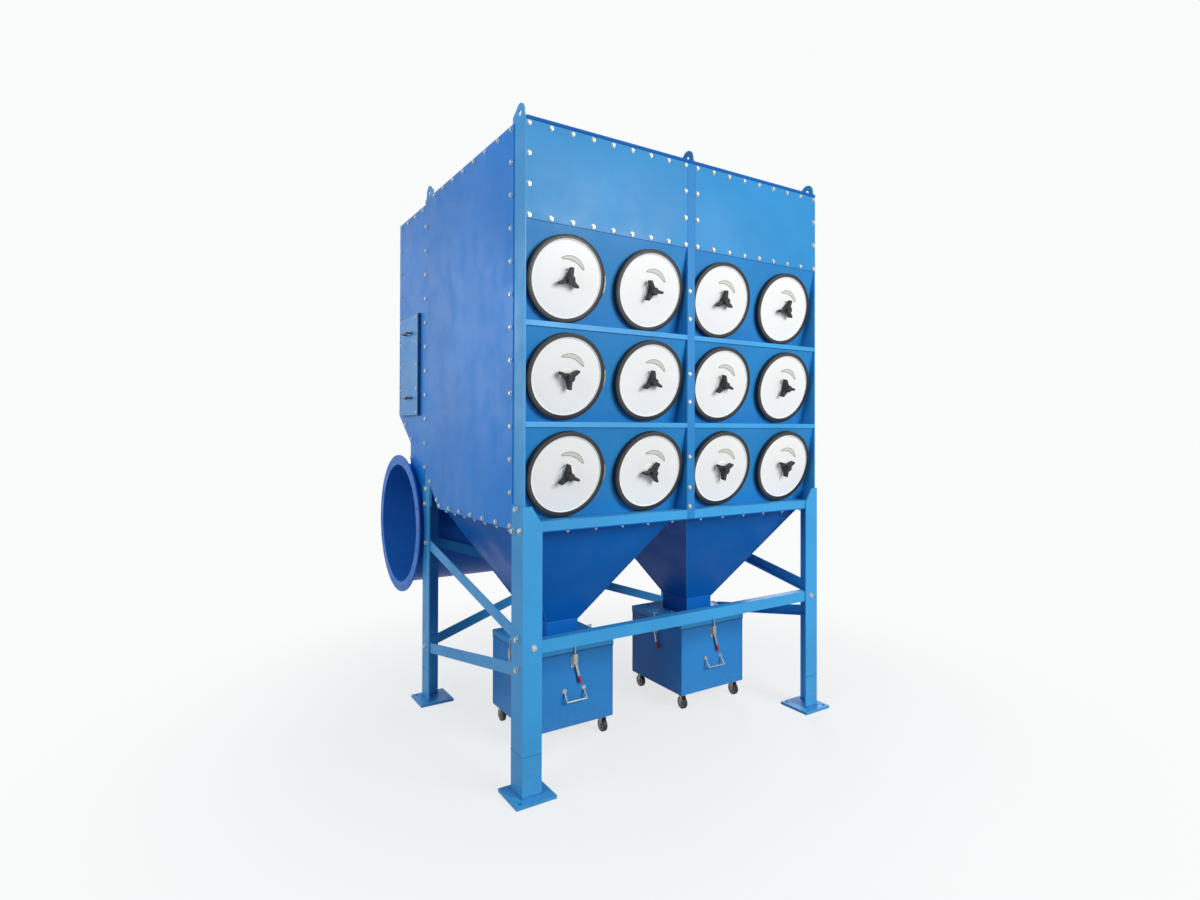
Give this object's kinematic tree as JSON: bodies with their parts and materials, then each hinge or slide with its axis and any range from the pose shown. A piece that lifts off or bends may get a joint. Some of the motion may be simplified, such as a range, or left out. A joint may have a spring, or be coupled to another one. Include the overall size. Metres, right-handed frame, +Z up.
{
  "type": "dust collector",
  "caption": "Cartridge dust collector on four braced legs: covered cartridges in front, hoppers over wheeled dust bins, and a clean-air plenum with a round duct behind.",
  "frame": {"origin": "centre of the legs' anchor-hole rectangle at floor level", "axes": "+X to the right along the front, +Y towards the back, where the plenum and duct are, +Z up"},
  "size_m": [2.104, 2.394, 3.2509],
  "materials": {
    "frame_paint": "gloss",
    "panel_paint": "gloss",
    "cover_paint": "gloss",
    "gasket_rubber": "matte",
    "knob_plastic": "satin",
    "latch_steel": "satin",
    "caster_steel": "satin",
    "wheel_rubber": "matte",
    "handle_steel": "satin"
  },
  "bodies": {
    "collector": {"leg_front_left": "frame_paint", "leg_front_right": "frame_paint", "leg_rear_left": "frame_paint", "leg_rear_right": "frame_paint", "front_tie_rail": "frame_paint", "side_braces": "frame_paint", "rear_cross_braces": "frame_paint", "post_front_left": "frame_paint", "post_front_right": "frame_paint", "post_middle": "frame_paint", "posts_rear": "frame_paint", "side_panel_left": "panel_paint", "side_panel_right": "panel_paint", "roof": "frame_paint", "upper_panel_left": "panel_paint", "upper_panel_right": "panel_paint", "cover_plate_left": "frame_paint", "cover_plate_right": "frame_paint", "shelf_rails": "frame_paint", "sill": "frame_paint", "bottom_frame": "frame_paint", "rear_slope_panel": "frame_paint", "hopper_left": "frame_paint", "hopper_right": "frame_paint", "bin_lids": "frame_paint", "plenum_side_left": "panel_paint", "plenum_side_right": "panel_paint", "plenum_back_wall": "frame_paint", "plenum_floor": "frame_paint", "access_cover": "panel_paint", "access_handles": "handle_steel", "air_duct": "frame_paint", "duct_flanges": "frame_paint", "duct_blank_end": "frame_paint", "cartridge_covers": "cover_paint", "cover_gaskets": "gasket_rubber"},
    "bin_left": {"bin_left": "frame_paint", "bin_fittings_left": "latch_steel", "casters_left": "caster_steel"},
    "wheels_front_left": {"wheels_front_left": "wheel_rubber"},
    "wheels_rear_left": {"wheels_rear_left": "wheel_rubber"},
    "bin_right": {"bin_right": "frame_paint", "bin_fittings_right": "latch_steel", "casters_right": "caster_steel"},
    "wheels_front_right": {"wheels_front_right": "wheel_rubber"},
    "wheels_rear_right": {"wheels_rear_right": "wheel_rubber"},
    "knob_1_1": {"knob_1_1": "knob_plastic"},
    "knob_1_2": {"knob_1_2": "knob_plastic"},
    "knob_1_3": {"knob_1_3": "knob_plastic"},
    "knob_1_4": {"knob_1_4": "knob_plastic"},
    "knob_2_1": {"knob_2_1": "knob_plastic"},
    "knob_2_2": {"knob_2_2": "knob_plastic"},
    "knob_2_3": {"knob_2_3": "knob_plastic"},
    "knob_2_4": {"knob_2_4": "knob_plastic"},
    "knob_3_1": {"knob_3_1": "knob_plastic"},
    "knob_3_2": {"knob_3_2": "knob_plastic"},
    "knob_3_3": {"knob_3_3": "knob_plastic"},
    "knob_3_4": {"knob_3_4": "knob_plastic"}
  },
  "joints": [
    {"name": "bin_left_roll", "type": "slide", "parent": "collector", "child": "bin_left", "axis": [0, -1, 0], "range_m": [0, 1]},
    {"name": "wheels_front_left_spin", "type": "hinge", "parent": "bin_left", "child": "wheels_front_left", "pos_m": [-0.5, -0.296, 0.0375], "axis": [1, 0, 0], "continuous": true},
    {"name": "wheels_rear_left_spin", "type": "hinge", "parent": "bin_left", "child": "wheels_rear_left", "pos_m": [-0.5, 0.146, 0.0375], "axis": [1, 0, 0], "continuous": true},
    {"name": "bin_right_roll", "type": "slide", "parent": "collector", "child": "bin_right", "axis": [0, -1, 0], "range_m": [0, 1]},
    {"name": "wheels_front_right_spin", "type": "hinge", "parent": "bin_right", "child": "wheels_front_right", "pos_m": [0.5, -0.296, 0.0375], "axis": [1, 0, 0], "continuous": true},
    {"name": "wheels_rear_right_spin", "type": "hinge", "parent": "bin_right", "child": "wheels_rear_right", "pos_m": [0.5, 0.146, 0.0375], "axis": [1, 0, 0], "continuous": true},
    {"name": "knob_1_1_turn", "type": "hinge", "parent": "collector", "child": "knob_1_1", "pos_m": [-0.75, -0.69946, 1.49286], "axis": [0, -0.9763, -0.2164], "continuous": true},
    {"name": "knob_1_2_turn", "type": "hinge", "parent": "collector", "child": "knob_1_2", "pos_m": [-0.25, -0.69946, 1.49286], "axis": [0, -0.9763, -0.2164], "continuous": true},
    {"name": "knob_1_3_turn", "type": "hinge", "parent": "collector", "child": "knob_1_3", "pos_m": [0.25, -0.69946, 1.49286], "axis": [0, -0.9763, -0.2164], "continuous": true},
    {"name": "knob_1_4_turn", "type": "hinge", "parent": "collector", "child": "knob_1_4", "pos_m": [0.75, -0.69946, 1.49286], "axis": [0, -0.9763, -0.2164], "continuous": true},
    {"name": "knob_2_1_turn", "type": "hinge", "parent": "collector", "child": "knob_2_1", "pos_m": [-0.75, -0.69946, 1.96786], "axis": [0, -0.9763, -0.2164], "continuous": true},
    {"name": "knob_2_2_turn", "type": "hinge", "parent": "collector", "child": "knob_2_2", "pos_m": [-0.25, -0.69946, 1.96786], "axis": [0, -0.9763, -0.2164], "continuous": true},
    {"name": "knob_2_3_turn", "type": "hinge", "parent": "collector", "child": "knob_2_3", "pos_m": [0.25, -0.69946, 1.96786], "axis": [0, -0.9763, -0.2164], "continuous": true},
    {"name": "knob_2_4_turn", "type": "hinge", "parent": "collector", "child": "knob_2_4", "pos_m": [0.75, -0.69946, 1.96786], "axis": [0, -0.9763, -0.2164], "continuous": true},
    {"name": "knob_3_1_turn", "type": "hinge", "parent": "collector", "child": "knob_3_1", "pos_m": [-0.75, -0.69946, 2.44286], "axis": [0, -0.9763, -0.2164], "continuous": true},
    {"name": "knob_3_2_turn", "type": "hinge", "parent": "collector", "child": "knob_3_2", "pos_m": [-0.25, -0.69946, 2.44286], "axis": [0, -0.9763, -0.2164], "continuous": true},
    {"name": "knob_3_3_turn", "type": "hinge", "parent": "collector", "child": "knob_3_3", "pos_m": [0.25, -0.69946, 2.44286], "axis": [0, -0.9763, -0.2164], "continuous": true},
    {"name": "knob_3_4_turn", "type": "hinge", "parent": "collector", "child": "knob_3_4", "pos_m": [0.75, -0.69946, 2.44286], "axis": [0, -0.9763, -0.2164], "continuous": true}
  ],
  "couplings": [
    {"joint": "wheels_front_left_spin", "follows": "bin_left_roll", "rad_per_m": 26.667},
    {"joint": "wheels_rear_left_spin", "follows": "bin_left_roll", "rad_per_m": 26.667},
    {"joint": "wheels_front_right_spin", "follows": "bin_right_roll", "rad_per_m": 26.667},
    {"joint": "wheels_rear_right_spin", "follows": "bin_right_roll", "rad_per_m": 26.667}
  ]
}
